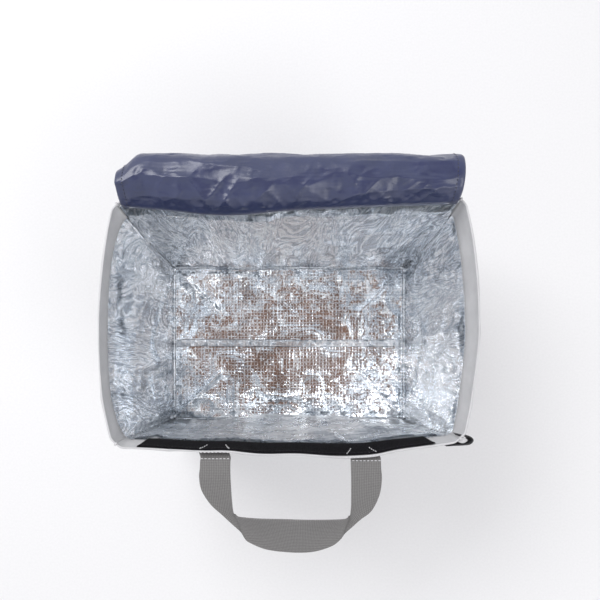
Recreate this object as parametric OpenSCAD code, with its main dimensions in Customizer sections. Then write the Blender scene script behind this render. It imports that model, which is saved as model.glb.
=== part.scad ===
// Soft insulated cooler bag: an open-topped padded box with a foil lining, a padded lid flap
// thrown back over the rear rim, and a webbing carry loop on the front and on the rear wall.
// Millimetres. +X is to the right, -Y is the front, +Z is up. The origin is the middle of the
// base, on the surface that the bag stands on.

/* [Bag] */
// Width of the bag, from side to side
bag_w = 366; // [300:1:440]
// Depth of the bag, from front to rear
bag_d = 246; // [200:1:300]
// Height of the bag up to its rim
bag_h = 300; // [240:1:380]

/* [Wall layers] */
// Thickness of the woven outer fabric
skin_t = 1; // [0.8:0.1:1.6]
// Thickness of the foam in the walls and the base
foam_t = 4; // [2:0.5:8]
// Thickness of the foil lining with its woven backing
foil_t = 0.8; // [0.5:0.1:1.2]

/* [Rim] */
// Depth of the fabric facing that is turned in along the rim
facing_h = 30; // [28:1:50]
// Width of the hook and loop tapes
tape_w = 25; // [16:1:26]
// Thickness of the loop tape, pile included
tape_t = 2; // [1:0.25:3]
// Distance of the loop tape below the rim
tape_drop = 2; // [0:0.5:2]
// Distance of each end of the loop tape from the side lining
tape_inset = 31; // [10:1:60]
// Width of the lap seam across the middle of the foil floor
lap_w = 8; // [4:1:14]

/* [Lid] */
// Gap between each end of the lid and the side lining
lid_end_gap = 9; // [6:0.5:20]
// Length of the lid's root panel, from its seam to the first fold
lid_root_l = 57; // [40:1:70]
// Length of the tuck panel that goes down inside the front wall
lid_tuck_l = 35; // [30:1:40]
// Thickness of the coated fabric on each face of the lid
lid_skin_t = 0.6; // [0.4:0.1:1]
// Thickness of the foam in the lid
lid_foam_t = 4; // [3:0.5:4.5]
// Thickness of the hook tape
hook_t = 1.5; // [1:0.25:1.5]
// Height of the lid's seam line above the rim, to the underside of the lid
lid_lift = 3; // [2:0.5:6]
// Angle at which the root panel rests, above level
lid_tilt = 12; // [5:1:20]
// Bare fabric at each end of a lid panel, where the lid folds
fold_gap = 3.6; // [3.6:0.1:5]

/* [Handles] */
// Width of the webbing
strap_w = 30; // [20:1:40]
// Thickness of the webbing
strap_t = 2; // [1.2:0.1:2.6]
// Clear width of the hand gap between the legs
hand_gap = 120; // [100:1:140]
// Distance that a loop stands out from its fold
loop_l = 93; // [80:1:140]
// Width of the webbing across the top of a loop
crown_w = 33; // [24:1:38]
// Outer corner radius of a loop
loop_r = 56; // [40:1:60]
// Inner corner radius of a loop
loop_inner_r = 14; // [5:1:20]
// Length of webbing sewn down at each end of a loop
sewn_l = 26; // [20:1:40]
// Distance by which a loop's fold stands off its sewn ends
stand_off = 8; // [3:0.5:10]
// Distance of a loop's fold below the rim
fold_drop = 5; // [4:0.5:8]
// Thickness of the box stitches
stitch_t = 0.4; // [0.3:0.1:0.6]
// Width of each stitched line
stitch_w = 1.2; // [0.8:0.1:2]
// Side of each square of box stitching
stitch_box = 20; // [14:1:22]

/* [Corner loop] */
// Distance that the fabric stub stands out at the front right corner
stub_l = 5; // [3:0.5:10]
// Height of the stub and of the tape loop round it
stub_h = 20; // [12:1:30]
// Thickness of the stub
stub_t = 2; // [1:0.5:3]
// Thickness of the black tape
loop_tape_t = 1.6; // [1:0.1:2.5]
// Depth of the open eye beyond the stub
eye_l = 4; // [3:0.5:10]

/* [Hidden] */

outer_colour = "#c6c6c9";
foam_colour = "#eef0f0";
foil_colour = "#a9b3bc";
navy = "#30364f";
black = "#18181c";
webbing_colour = "#8a8987";
thread_colour = "#e8e8ea";

// A gap that keeps two moving pieces apart
clear = 0.6;
wall_t = skin_t + foam_t + foil_t;
// Half width and half depth of the bag at the outside and at the foil
half_w = bag_w / 2;
half_d = bag_d / 2;
in_w = half_w - wall_t;
in_d = half_d - wall_t;
facing_z = bag_h - facing_h;
tape_z = bag_h - tape_drop - tape_w;

// The lid folds about three lines along X. All of its panels share one thickness.
lid_t = lid_foam_t + 2 * lid_skin_t;
lid_w = 2 * (in_w - lid_end_gap);
band_t = 2 * lid_skin_t;
seam_y = in_d - band_t / 2;
seam_z = bag_h + lid_lift + lid_t / 2;
// Where the last fold lies when the lid is shut: in front of it are the tapes and the stitches
tuck_gap = 3;
shut_y = -(in_d - tape_t - stitch_t - tuck_gap - hook_t - lid_t / 2);
lid_main_l = seam_y - shut_y - lid_root_l;
fold_y = seam_y + lid_root_l * cos(lid_tilt);
fold_z = seam_z + lid_root_l * sin(lid_tilt);
tuck_fold_z = fold_z - lid_main_l;

// A loop folds about a line that stands off its sewn ends, clear of their stitches
leg_x = (hand_gap + strap_w) / 2;
fold_out = half_d + strap_t + stand_off + strap_t / 2;
fold_up = bag_h - fold_drop;
loop_w = hand_gap + 2 * strap_w;
ends_top = fold_up - strap_t / 2 - clear;

// ---- the box: five sides in three layers ----

// A plate between two heights: X runs from x0 to x1 and Y from y0 to y1
module plate(x0, x1, y0, y1, z0, z1)
  translate([x0, y0, z0]) cube([x1 - x0, y1 - y0, z1 - z0]);

// A wall across the front or the rear (s = -1 or 1), between two distances from the middle
module cross_wall(s, half_len, d0, d1, z0, z1)
  plate(-half_len, half_len, s > 0 ? d0 : -d1, s > 0 ? d1 : -d0, z0, z1);

// A wall along the left or the right (s = -1 or 1), between two distances from the middle
module side_wall(s, half_len, d0, d1, z0, z1)
  plate(s > 0 ? d0 : -d1, s > 0 ? d1 : -d0, -half_len, half_len, z0, z1);

module outer_base() color(outer_colour)
  plate(-half_w, half_w, -half_d, half_d, 0, skin_t);
module outer_cross(s) color(outer_colour)
  cross_wall(s, half_w, half_d - skin_t, half_d, skin_t, bag_h);
module outer_side(s) color(outer_colour)
  side_wall(s, half_d - skin_t, half_w - skin_t, half_w, skin_t, bag_h);

foam_top = bag_h - skin_t;
module foam_base() color(foam_colour)
  plate(skin_t - half_w, half_w - skin_t, skin_t - half_d, half_d - skin_t,
        skin_t, skin_t + foam_t);
module foam_cross(s) color(foam_colour)
  cross_wall(s, half_w - skin_t, half_d - skin_t - foam_t, half_d - skin_t,
             skin_t + foam_t, foam_top);
module foam_side(s) color(foam_colour)
  side_wall(s, half_d - skin_t - foam_t, half_w - skin_t - foam_t, half_w - skin_t,
            skin_t + foam_t, foam_top);

module foil_base() color(foil_colour)
  plate(-in_w - foil_t, in_w + foil_t, -in_d - foil_t, in_d + foil_t,
        skin_t + foam_t, wall_t);
module foil_cross(s) color(foil_colour)
  cross_wall(s, in_w + foil_t, in_d, in_d + foil_t, wall_t, facing_z);
module foil_side(s) color(foil_colour)
  side_wall(s, in_d, in_w, in_w + foil_t, wall_t, facing_z);

// The facing is the outer fabric turned over the foam and down inside the rim
module facing_cross(s) color(outer_colour) {
  cross_wall(s, in_w + foil_t, in_d, in_d + foil_t, facing_z, foam_top);
  cross_wall(s, half_w - skin_t, in_d, half_d - skin_t, foam_top, bag_h);
}
module facing_side(s) color(outer_colour) {
  side_wall(s, in_d, in_w, in_w + foil_t, facing_z, foam_top);
  side_wall(s, in_d, in_w, half_w - skin_t, foam_top, bag_h);
}

// The foil floor is two sheets that lap along the line on which the bag folds flat
module floor_lap() color(foil_colour)
  plate(-in_w, in_w, -lap_w / 2, lap_w / 2, wall_t, wall_t + foil_t);

module loop_tape() color(black)
  plate(tape_inset - in_w, in_w - tape_inset, -in_d, tape_t - in_d, tape_z, tape_z + tape_w);

// The strip by which the lid is sewn to the rear facing
module lid_seam_band() color(navy)
  plate(-lid_w / 2, lid_w / 2, in_d - band_t, in_d, facing_z, seam_z - lid_t / 2 - clear);

// ---- the carry loops ----

// A shape of width w from the line Y = 0 up to Y = l, with its two far corners rounded
module rounded(w, l, r) intersection() {
  translate([-w / 2, 0]) square([w, l]);
  union() {
    translate([-w / 2, 0]) square([w, l - r]);
    translate([r - w / 2, 0]) square([w - 2 * r, l]);
    for (s = [-1, 1]) translate([s * (w / 2 - r), l - r]) circle(r, $fn = 96);
  }
}

// A flat loop whose fold is at the origin and whose crown is along +Y, in the plane Z = 0
module loop_plate()
  translate([0, 0, -strap_t / 2]) linear_extrude(strap_t) difference() {
    rounded(loop_w, loop_l, loop_r);
    translate([0, -1]) rounded(hand_gap, loop_l - crown_w + 1, loop_inner_r);
  }

// The front loop lies level, and the rear loop hangs down the wall
module front_handle() color(webbing_colour)
  translate([0, -fold_out, fold_up]) rotate([0, 0, 180]) loop_plate();
module rear_handle() color(webbing_colour)
  translate([0, fold_out, fold_up]) rotate([-90, 0, 0]) loop_plate();

module handle_ends(s) color(webbing_colour)
  for (side = [-1, 1]) translate([side * leg_x, 0, 0])
    cross_wall(s, strap_w / 2, half_d, half_d + strap_t, ends_top - sewn_l, ends_top);

// A square of stitching with its two diagonals, as thick as it stands proud
module box_stitch()
  linear_extrude(stitch_t) {
    difference() {
      square(stitch_box, center = true);
      square(stitch_box - 2 * stitch_w, center = true);
    }
    intersection() {
      square(stitch_box, center = true);
      for (a = [45, -45]) rotate(a) square([2 * stitch_box, stitch_w], center = true);
    }
  }

// Stitches show on the outside of the webbing and on whatever lines the wall behind it
module handle_stitches(s, inner_face) color(thread_colour)
  for (side = [-1, 1]) translate([side * leg_x, 0, ends_top - sewn_l / 2]) {
    translate([0, s * (half_d + strap_t), 0]) rotate([-90 * s, 0, 0]) box_stitch();
    translate([0, s * inner_face, 0]) rotate([90 * s, 0, 0]) box_stitch();
  }

// ---- the loop at the front right corner ----

stub_y = stub_t - half_d;
stub_z = bag_h - tape_drop - stub_h;
module corner_stub() color(outer_colour)
  plate(half_w, half_w + stub_l, stub_y - stub_t / 2, stub_y + stub_t / 2,
        stub_z, stub_z + stub_h);

// Black tape folded round the stub, with an open eye beyond it
module corner_tape_loop() color(black) {
  r = stub_t / 2 + loop_tape_t;
  far = half_w + stub_l + eye_l;
  translate([0, stub_y, stub_z]) linear_extrude(stub_h) difference() {
    union() {
      translate([half_w, -r]) square([far - half_w, 2 * r]);
      translate([far, 0]) circle(r, $fn = 48);
    }
    translate([half_w - 1, -stub_t / 2]) square([far - half_w + 1, stub_t]);
    translate([far, 0]) circle(stub_t / 2, $fn = 48);
  }
}

// ---- the lid: three padded panels, each written as it lies, from its own fold ----

// One layer of a panel of length l that runs along +Y from its fold. Its outer face is
// down and its lining is up; n0 and n1 are heights from the middle of its thickness.
module layer(l, g0, g1, n0, n1)
  translate([-lid_w / 2, g0, n0]) cube([lid_w, l - g0 - g1, n1 - n0]);

module at_seam() translate([0, seam_y, seam_z]) rotate([lid_tilt, 0, 0]) children();
module at_fold() translate([0, fold_y, fold_z]) rotate([-90, 0, 0]) children();
module at_tuck() translate([0, fold_y, tuck_fold_z]) rotate([-90, 0, 0]) children();

module lid_panel_cover(l, g1) color(navy) layer(l, fold_gap, g1, -lid_t / 2, -lid_foam_t / 2);
module lid_panel_foam(l, g1) color(foam_colour)
  layer(l, fold_gap, g1, -lid_foam_t / 2, lid_foam_t / 2);
module lid_panel_lining(l, g1) color(navy) layer(l, fold_gap, g1, lid_foam_t / 2, lid_t / 2);

// The hook tape lies on the tuck panel's outer face, which meets the loop tape
module hook_tape() color(black) at_tuck()
  translate([-(in_w - tape_inset), fold_gap, -lid_t / 2 - hook_t])
    cube([2 * (in_w - tape_inset), min(tape_w, lid_tuck_l - fold_gap), hook_t]);

outer_base();
outer_cross(-1);  // outer_front
outer_cross(1);  // outer_rear
outer_side(-1);  // outer_left
outer_side(1);  // outer_right
foam_base();
foam_cross(-1);  // foam_front
foam_cross(1);  // foam_rear
foam_side(-1);  // foam_left
foam_side(1);  // foam_right
foil_base();
foil_cross(-1);  // foil_front
foil_cross(1);  // foil_rear
foil_side(-1);  // foil_left
foil_side(1);  // foil_right
facing_cross(-1);  // facing_front
facing_cross(1);  // facing_rear
facing_side(-1);  // facing_left
facing_side(1);  // facing_right
floor_lap();
loop_tape();
lid_seam_band();
handle_ends(-1);  // front_handle_ends
handle_ends(1);  // rear_handle_ends
handle_stitches(-1, in_d - tape_t);  // front_handle_stitches
handle_stitches(1, in_d - band_t);  // rear_handle_stitches
corner_stub();
corner_tape_loop();
front_handle();
rear_handle();
at_seam() lid_panel_cover(lid_root_l, fold_gap);  // lid_root_cover
at_seam() lid_panel_foam(lid_root_l, fold_gap);  // lid_root_foam
at_seam() lid_panel_lining(lid_root_l, fold_gap);  // lid_root_lining
at_fold() lid_panel_cover(lid_main_l, fold_gap);  // lid_cover
at_fold() lid_panel_foam(lid_main_l, fold_gap);  // lid_foam
at_fold() lid_panel_lining(lid_main_l, fold_gap);  // lid_lining
at_tuck() lid_panel_cover(lid_tuck_l, 0);  // tuck_cover
at_tuck() lid_panel_foam(lid_tuck_l, 0);  // tuck_foam
at_tuck() lid_panel_lining(lid_tuck_l, 0);  // tuck_lining
hook_tape();
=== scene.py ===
# %% [markdown]
# # A soft insulated cooler bag
#
# The bag is a padded box with an open mouth. Its outside is a light grey woven fabric, its inside
# is a silver foil on a woven backing, and between them is thin foam. A navy flap lid is sewn to
# the rear rim and is thrown back, webbing loops hang on the front and the rear, and black
# hook and loop tape holds the lid when it is shut. Everything is built round the CAD frame, in
# metres, with +Z up and -Y to the front.

# %% Load the frame
import itertools
import math

import bpy
import mathutils
import numpy as np
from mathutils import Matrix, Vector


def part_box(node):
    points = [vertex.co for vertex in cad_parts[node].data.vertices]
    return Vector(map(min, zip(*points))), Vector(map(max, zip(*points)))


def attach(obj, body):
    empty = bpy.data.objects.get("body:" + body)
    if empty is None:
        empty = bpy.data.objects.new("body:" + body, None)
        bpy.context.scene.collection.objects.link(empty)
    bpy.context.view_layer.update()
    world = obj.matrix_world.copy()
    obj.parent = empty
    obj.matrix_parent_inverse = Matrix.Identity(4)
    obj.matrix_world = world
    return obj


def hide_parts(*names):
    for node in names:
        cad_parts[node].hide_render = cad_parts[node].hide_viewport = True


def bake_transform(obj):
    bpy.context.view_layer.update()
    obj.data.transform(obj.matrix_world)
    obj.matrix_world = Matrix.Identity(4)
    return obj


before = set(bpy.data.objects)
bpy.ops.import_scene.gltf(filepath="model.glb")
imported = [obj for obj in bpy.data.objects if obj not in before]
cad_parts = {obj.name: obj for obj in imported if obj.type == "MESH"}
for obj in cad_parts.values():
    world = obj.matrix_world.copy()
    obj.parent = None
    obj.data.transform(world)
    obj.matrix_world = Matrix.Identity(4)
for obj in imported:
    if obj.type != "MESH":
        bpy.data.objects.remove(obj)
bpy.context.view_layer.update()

# %% [markdown]
# The driving sizes are read from the CAD nodes, so that the fabric follows the frame: the half
# width and half depth of the outside, the height of the rim, the height where the facing ends
# and the foil begins, and the thickness of the padded wall.

# %% Sizes from the frame
MM = 0.001
HALF_W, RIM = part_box("outer_front")[1].x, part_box("outer_front")[1].z
HALF_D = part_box("outer_rear")[1].y
FACING_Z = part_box("foil_rear")[1].z
FLOOR_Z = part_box("foil_base")[1].z
WALL = HALF_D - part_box("foil_rear")[0].y
print(f"outside {2 * HALF_W:.3f} x {2 * HALF_D:.3f} x {RIM:.3f} m, wall {WALL * 1000:.1f} mm")

# %% [markdown]
# Fabric is never quite flat, so every surface needs a gentle, repeatable unevenness. This is
# value noise: a number is fixed at each corner of a cubic lattice by mixing the corner's whole
# coordinates, and blended smoothly between them. It needs no random state, so the bag comes out
# the same on every run. Folding it at zero gives sharp ridges, which look like creases.

# %% Noise for fabric
def lumps(points, size, seed):
    """Smooth noise from -1 to 1 whose lumps are about `size` across, at (..., 3) points."""
    lattice = np.asarray(points, float) / size + 0.37 * seed
    cell = np.floor(lattice).astype(np.int64)
    part = lattice - cell
    part = part * part * (3 - 2 * part)
    total = np.zeros(lattice.shape[:-1])
    for corner in itertools.product((0, 1), repeat=3):
        at = cell + corner
        mixed = (at[..., 0] * 73856093) ^ (at[..., 1] * 19349663) ^ (at[..., 2] * 83492791)
        mixed = (mixed ^ (seed * 40503)) & 0xFFFFFF
        mixed = ((mixed ^ (mixed >> 11)) * 668265263) & 0xFFFFFF
        value = ((mixed ^ (mixed >> 9)) & 0xFFFF) / 32767.5 - 1
        total += value * np.prod(np.where(corner, part, 1 - part), axis=-1)
    return total


def ridges(points, size, seed):
    """Sharp raised creases from 0 to 1, about `size` apart."""
    return (1 - np.abs(lumps(points, size, seed))) ** 3


def ramp(x, low, high):
    """0 below low, 1 above high, and a smooth step between them."""
    t = np.clip((np.asarray(x, float) - low) / (high - low), 0, 1)
    return t * t * (3 - 2 * t)


print("noise at the origin:", round(float(lumps(np.zeros((1, 3)), 0.01, 3)[0]), 3))

# %% [markdown]
# Most of the bag is sheet goods, and a sheet is a grid of points joined by quads. The grid's own
# running lengths become a UV map in metres, so a weave keeps its true size along the cloth. A
# tube is the same thing with its last column joined to its first, and its ends closed.

# %% Building sheets and tubes
def finish_mesh(name, points, faces, uvs=None):
    mesh = bpy.data.meshes.new(name)
    mesh.from_pydata(np.asarray(points).reshape(-1, 3).tolist(), [], faces)
    mesh.polygons.foreach_set("use_smooth", [True] * len(mesh.polygons))
    if uvs is not None:
        layer = mesh.uv_layers.new(name="cloth")
        layer.uv.foreach_set("vector", np.asarray(uvs, np.float32).ravel())
    mesh.validate()
    piece = bpy.data.objects.new(name, mesh)
    bpy.context.scene.collection.objects.link(piece)
    return piece


def grid_faces(rows, cols, first=0, ring=False):
    index = first + np.arange(rows * cols).reshape(rows, cols)
    if ring:
        index = np.concatenate([index, index[:, :1]], axis=1)
    quads = np.stack([index[:-1, :-1], index[:-1, 1:], index[1:, 1:], index[1:, :-1]], axis=-1)
    return quads.reshape(-1, 4)


def grid_uvs(across, along, ring=False):
    """UVs per face corner for grid_faces, from the (rows, cols) lengths across and along."""
    uv = np.stack(np.broadcast_arrays(across, along), axis=-1)
    if ring:
        uv = np.concatenate([uv, uv[:, :1]], axis=1)
    quads = np.stack([uv[:-1, :-1], uv[:-1, 1:], uv[1:, 1:], uv[1:, :-1]], axis=-2)
    return quads.reshape(-1, 2)


def sheet(name, grid, across, along, flip=False):
    faces = grid_faces(*grid.shape[:2])
    uvs = grid_uvs(across, along).reshape(-1, 4, 2)
    if flip:
        faces, uvs = faces[:, ::-1], uvs[:, ::-1]
    return finish_mesh(name, grid, faces.tolist(), uvs.reshape(-1, 2))


def lengths(points):
    """Running length along a list of points."""
    step = np.linalg.norm(np.diff(points, axis=0), axis=1)
    return np.concatenate([[0], np.cumsum(step)])


def smooth_path(points, count):
    """A Catmull-Rom curve through a few points, as `count` evenly spaced ones."""
    p = np.array(points, float)
    p = np.concatenate([[2 * p[0] - p[1]], p, [2 * p[-1] - p[-2]]])
    fine = []
    for a, b, c, d in zip(p, p[1:], p[2:], p[3:]):
        for t in np.linspace(0, 1, 24, endpoint=False):
            fine.append(0.5 * (2 * b + (c - a) * t + (2 * a - 5 * b + 4 * c - d) * t**2
                               + (3 * b - a - 3 * c + d) * t**3))
    fine = np.array(fine + [p[-2]])
    along = lengths(fine)
    wanted = np.linspace(0, along[-1], count)
    return np.stack([np.interp(wanted, along, fine[:, k]) for k in range(fine.shape[1])], axis=1)


def strap_section(width, thick, count=13):
    """A flat loop of points with rounded edges: its offsets across and through the strap."""
    half, r = width / 2, thick / 2
    across = np.linspace(-half + r, half - r, count)
    turn = np.linspace(-math.pi / 2, math.pi / 2, 5)[1:-1]
    side = np.concatenate([across, half - r + r * np.cos(turn), across[::-1],
                           -(half - r + r * np.cos(turn))])
    up = np.concatenate([np.full(count, -r), r * np.sin(turn), np.full(count, r),
                         r * np.sin(turn[::-1])])
    return side, up


def tube_faces(rows, cols, first=0):
    """Faces of a closed tube: a ring grid with one polygon over each end."""
    faces = grid_faces(rows, cols, first, ring=True).tolist()
    last = first + (rows - 1) * cols
    return faces + [[first + k for k in reversed(range(cols))], [last + k for k in range(cols)]]


def end_uvs(across, start=0.0, end=0.0):
    """UVs for the two end polygons of a tube, at lengths start and end along it."""
    return [[float(a), start] for a in across[::-1]] + [[float(a), end] for a in across]


def slab_faces(rows, cols):
    """Faces of a flat tube, whose ends are closed by quads from its upper to its lower side."""
    faces = grid_faces(rows, cols, ring=True).tolist()
    for base, order in ((0, -1), ((rows - 1) * cols, 1)):
        for k in range(cols // 2 - 1):
            quad = [base + k, base + k + 1, base + cols - 2 - k, base + cols - 1 - k]
            faces.append(quad[::order])
    return faces


def lumps_along(x, size, seed):
    """Noise along a line, at lengths x."""
    return lumps(np.stack([x, 0 * x, 0 * x], axis=-1), size, seed)


print("helpers ready")

# %% [markdown]
# ## The finishes
#
# Each finish is a small node tree, driven by the cloth's UV map or by object coordinates in
# metres. First come the helpers: one that adds a node and sets its sockets, one that starts a
# material from a Principled shader, and one that chains bumps, so that a coarse wrinkle and a
# fine weave can both tilt the surface.

# %% Node helpers
def node(tree, kind, inputs=(), **settings):
    made = tree.nodes.new(kind)
    for key, value in settings.items():
        setattr(made, key, value)
    for key, value in dict(inputs).items():
        if isinstance(value, bpy.types.NodeSocket):
            tree.links.new(value, made.inputs[key])
        else:
            made.inputs[key].default_value = value
    return made


def math_node(tree, operation, *values, clamp=False):
    return node(tree, "ShaderNodeMath", dict(enumerate(values)), operation=operation,
                use_clamp=clamp).outputs[0]


def vector_node(tree, operation, *values, scale=None):
    """Vector maths on one or two vectors, or on a vector and the number that scales it."""
    inputs = dict(enumerate(values))
    if scale is not None:
        inputs["Scale"] = scale
    return node(tree, "ShaderNodeVectorMath", inputs, operation=operation).outputs[0]


def new_finish(name, **shader):
    """A material with a Principled shader: its tree, the shader and the material."""
    material = bpy.data.materials.new(name)
    material.use_nodes = True
    tree = material.node_tree
    shader_node = tree.nodes["Principled BSDF"]
    for key, value in shader.items():
        socket = key.replace("_", " ").title().replace("Ior", "IOR")
        shader_node.inputs[socket].default_value = value
    return material, tree, shader_node


def noise_field(tree, vector, scale, detail=3.0, roughness=0.55):
    return node(tree, "ShaderNodeTexNoise", {"Vector": vector, "Scale": scale, "Detail": detail,
                                             "Roughness": roughness}).outputs["Fac"]


def bump(tree, height, strength, distance, under=None):
    made = node(tree, "ShaderNodeBump", {"Height": height, "Strength": strength,
                                         "Distance": distance})
    if under is not None:
        tree.links.new(under, made.inputs["Normal"])
    return made.outputs["Normal"]


def colours(tree, factor, *stops):
    """A colour ramp: each stop is (position, (r, g, b))."""
    made = node(tree, "ShaderNodeValToRGB", {"Fac": factor})
    ramp_ = made.color_ramp
    while len(ramp_.elements) < len(stops):
        ramp_.elements.new(0.5)
    for element, (position, rgb) in zip(ramp_.elements, stops):
        element.position, element.color = position, (*rgb, 1)
    return made.outputs["Color"]


def cloth_axes(tree):
    """The two directions of the cloth, in metres, from its UV map."""
    uv = node(tree, "ShaderNodeUVMap", uv_map="cloth").outputs["UV"]
    parts = node(tree, "ShaderNodeSeparateXYZ", {"Vector": uv})
    return parts.outputs["X"], parts.outputs["Y"]


def place(tree):
    return node(tree, "ShaderNodeTexCoord").outputs["Object"]


def threads(tree, along, pitch):
    """A rounded wave from 0 to 1 that repeats every `pitch` metres."""
    turned = math_node(tree, "MULTIPLY", along, math.tau / pitch)
    return math_node(tree, "MULTIPLY_ADD", math_node(tree, "SINE", turned), 0.5, 0.5)


def weave(tree, across, along, pitch):
    """A plain weave: threads one way stand proud where those the other way dip."""
    product = math_node(tree, "MULTIPLY", math_node(tree, "SINE", math_node(
        tree, "MULTIPLY", across, math.pi / pitch)), math_node(tree, "SINE", math_node(
            tree, "MULTIPLY", along, math.pi / pitch)))
    return math_node(tree, "MULTIPLY_ADD", product, 0.5, 0.5)


print("node helpers ready")

# %% [markdown]
# ** Foil.** The lining is a metallised film laminated to a coarse woven scrim. The metal itself
# is smooth, so it is a metallic shader of low roughness, and most of its life comes from its
# shape: the scrim shows through as a square mesh of raised lines, and handling has pressed
# thousands of tiny creases into it. Two sizes of flat cell each lean their own way, as facets do,
# and two bumps are chained over them: the folds and then the scrim. Its colour adds painted
# reflections: broad light and dark patches and fine dark lines stand in for what the creases
# reflect. The walls are duller than the floor, and the front wall, which lies in the shade of
# its own fold, has creases that run across it and its colour dimmed all over as painted shade.

# %% Finish: foil
SCRIM_PITCH = 5.0 * MM                   # distance between the yarns of the woven backing


def foil_finish(name, stretch, facet, tilt, calm, scrim_depth, fold_depth, roughness, line_tone,
                tone=1.0):
    """Crushed foil.

    stretch draws the creases out along an axis, facet is the size of the flat cells and tilt is
    how far they lean. calm is how fast the crushing grows away from the middle. roughness is a
    pair, line_tone is how far the fine lines darken the foil's colour as painted reflection of its
    creases, and tone dims all of its colour as painted shade.
    """
    material, tree, shader = new_finish(name, metallic=1.0)
    across, along = cloth_axes(tree)
    spot = place(tree)
    drawn = vector_node(tree, "MULTIPLY", spot, stretch)
    bent = node(tree, "ShaderNodeTexNoise", {"Vector": drawn, "Scale": 0.5 / facet, "Detail": 3.0})
    warp = vector_node(tree, "SCALE", bent.outputs["Color"], scale=1.4 * facet)
    warped = vector_node(tree, "ADD", drawn, warp)
    facing = node(tree, "ShaderNodeNewGeometry").outputs["Normal"]
    scaled = vector_node(tree, "MULTIPLY", spot, calm)
    reach = node(tree, "ShaderNodeVectorMath", {0: scaled}, operation="LENGTH").outputs["Value"]
    worked = math_node(tree, "ADD", reach, noise_field(tree, spot, 13.0, detail=3.0))
    crushed = node(tree, "ShaderNodeMapRange", {"Value": worked, "From Min": 1.0, "From Max": 1.5,
                                                "To Min": 0.28, "To Max": 1.0}).outputs[0]
    for size, lean in ((facet, tilt), (0.36 * facet, 0.8 * tilt)):
        cells = node(tree, "ShaderNodeTexVoronoi", {"Vector": warped, "Scale": 1 / size})
        centred = vector_node(tree, "SUBTRACT", cells.outputs["Color"], (0.5, 0.5, 0.5))
        amount = math_node(tree, "MULTIPLY", crushed, lean)
        leaned = vector_node(tree, "SCALE", centred, scale=amount)
        facing = vector_node(tree, "ADD", facing, leaned)
    facing = vector_node(tree, "NORMALIZE", facing)
    folds = noise_field(tree, drawn, 55.0, detail=4.0, roughness=0.6)
    folded = math_node(tree, "ABSOLUTE", math_node(tree, "SUBTRACT", folds, 0.5))
    # Thin contour lines used only in the colour, to darken it as painted reflections of the creases
    flow = node(tree, "ShaderNodeTexNoise", {"Vector": drawn, "Scale": 26.0, "Detail": 3.0,
                                             "Roughness": 0.55, "Distortion": 0.8})
    lines = math_node(tree, "SINE", math_node(tree, "MULTIPLY", flow.outputs["Fac"], 100.0))
    yarns = [math_node(tree, "POWER", threads(tree, way, SCRIM_PITCH), 4.0)
             for way in (across, along)]
    scrim = math_node(tree, "MAXIMUM", *yarns)
    pressed = math_node(tree, "MULTIPLY", scrim, noise_field(tree, spot, 28.0, detail=2.0))
    normal = bump(tree, folded, 1.0, fold_depth, facing)
    normal = bump(tree, pressed, 1.0, scrim_depth, normal)
    tree.links.new(normal, shader.inputs["Normal"])
    dull = noise_field(tree, spot, 60.0, detail=5.0)
    low, high = roughness
    tree.links.new(math_node(tree, "MULTIPLY_ADD", dull, high - low, low),
                   shader.inputs["Roughness"])
    # The colour is painted reflection: broad light and dark patches and the dark fine lines stand
    # in for what the crushed metal reflects
    broad = noise_field(tree, drawn, 18.0, detail=5.0, roughness=0.65)
    shade = math_node(tree, "ADD", math_node(tree, "MULTIPLY", lines, line_tone), broad)
    shade = math_node(tree, "MULTIPLY_ADD", scrim, 0.12, shade)
    steps = ((0.30, (0.50, 0.53, 0.58)), (0.50, (0.76, 0.80, 0.84)), (0.68, (0.97, 0.98, 1.0)))
    stops = [(stop, tuple(tone * part for part in colour)) for stop, colour in steps]
    tree.links.new(colours(tree, shade, *stops), shader.inputs["Base Color"])
    return material


foil_floor = foil_finish("foil_floor", (1, 1, 1), 11 * MM, 0.32, (6.0, 9.0, 0.0), 0.34 * MM,
                         1.0 * MM, (0.02, 0.12), 0.05)
foil_wall = foil_finish("foil_wall", (1, 1, 0.22), 4 * MM, 0.15, (4.2, 5.5, 0.0), 0.03 * MM,
                        0.9 * MM, (0.14, 0.32), 0.20)
# The front foil's colour is dimmed to 0.76 all over: painted shade, for the shade that its own
# inward fold casts on it
foil_front = foil_finish("foil_front", (0.22, 1, 1), 4 * MM, 0.10, (4.2, 5.5, 0.0), 0.03 * MM,
                         0.7 * MM, (0.20, 0.36), 0.20, tone=0.76)
foil_lap = foil_finish("foil_lap", (1, 1, 1), 5 * MM, 0.60, (40.0, 40.0, 40.0), 0.20 * MM,
                       2.0 * MM, (0.20, 0.40), 0.10)
print("made", ", ".join(foil.name for foil in (foil_floor, foil_wall, foil_front, foil_lap)))

# %% [markdown]
# **Outer fabric.** A light grey polyester, woven tightly from flat yarns about half a millimetre
# wide. The weave is a bump and a slight change of colour, and a little sheen keeps its edges
# soft. **Coated nylon.** The lid's navy cloth has a much finer weave under a shiny coating, so it
# has a low roughness and its highlights follow every pucker.

# %% Finishes: outer fabric and coated nylon
def woven_finish(name, dark, light, pitch, depth, roughness, **shader_values):
    material, tree, shader = new_finish(name, roughness=roughness, **shader_values)
    across, along = cloth_axes(tree)
    spot = place(tree)
    crossed = weave(tree, across, along, pitch)
    mottled = noise_field(tree, spot, 55.0, detail=5.0)
    shade = math_node(tree, "MULTIPLY_ADD", crossed, 0.35, math_node(
        tree, "MULTIPLY", mottled, 0.65))
    tree.links.new(colours(tree, shade, (0.2, dark), (0.75, light)), shader.inputs["Base Color"])
    normal = bump(tree, noise_field(tree, spot, 120.0, detail=4.0), 0.5, 0.5 * MM)
    normal = bump(tree, crossed, 0.8, depth, normal)
    tree.links.new(normal, shader.inputs["Normal"])
    return material


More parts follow.
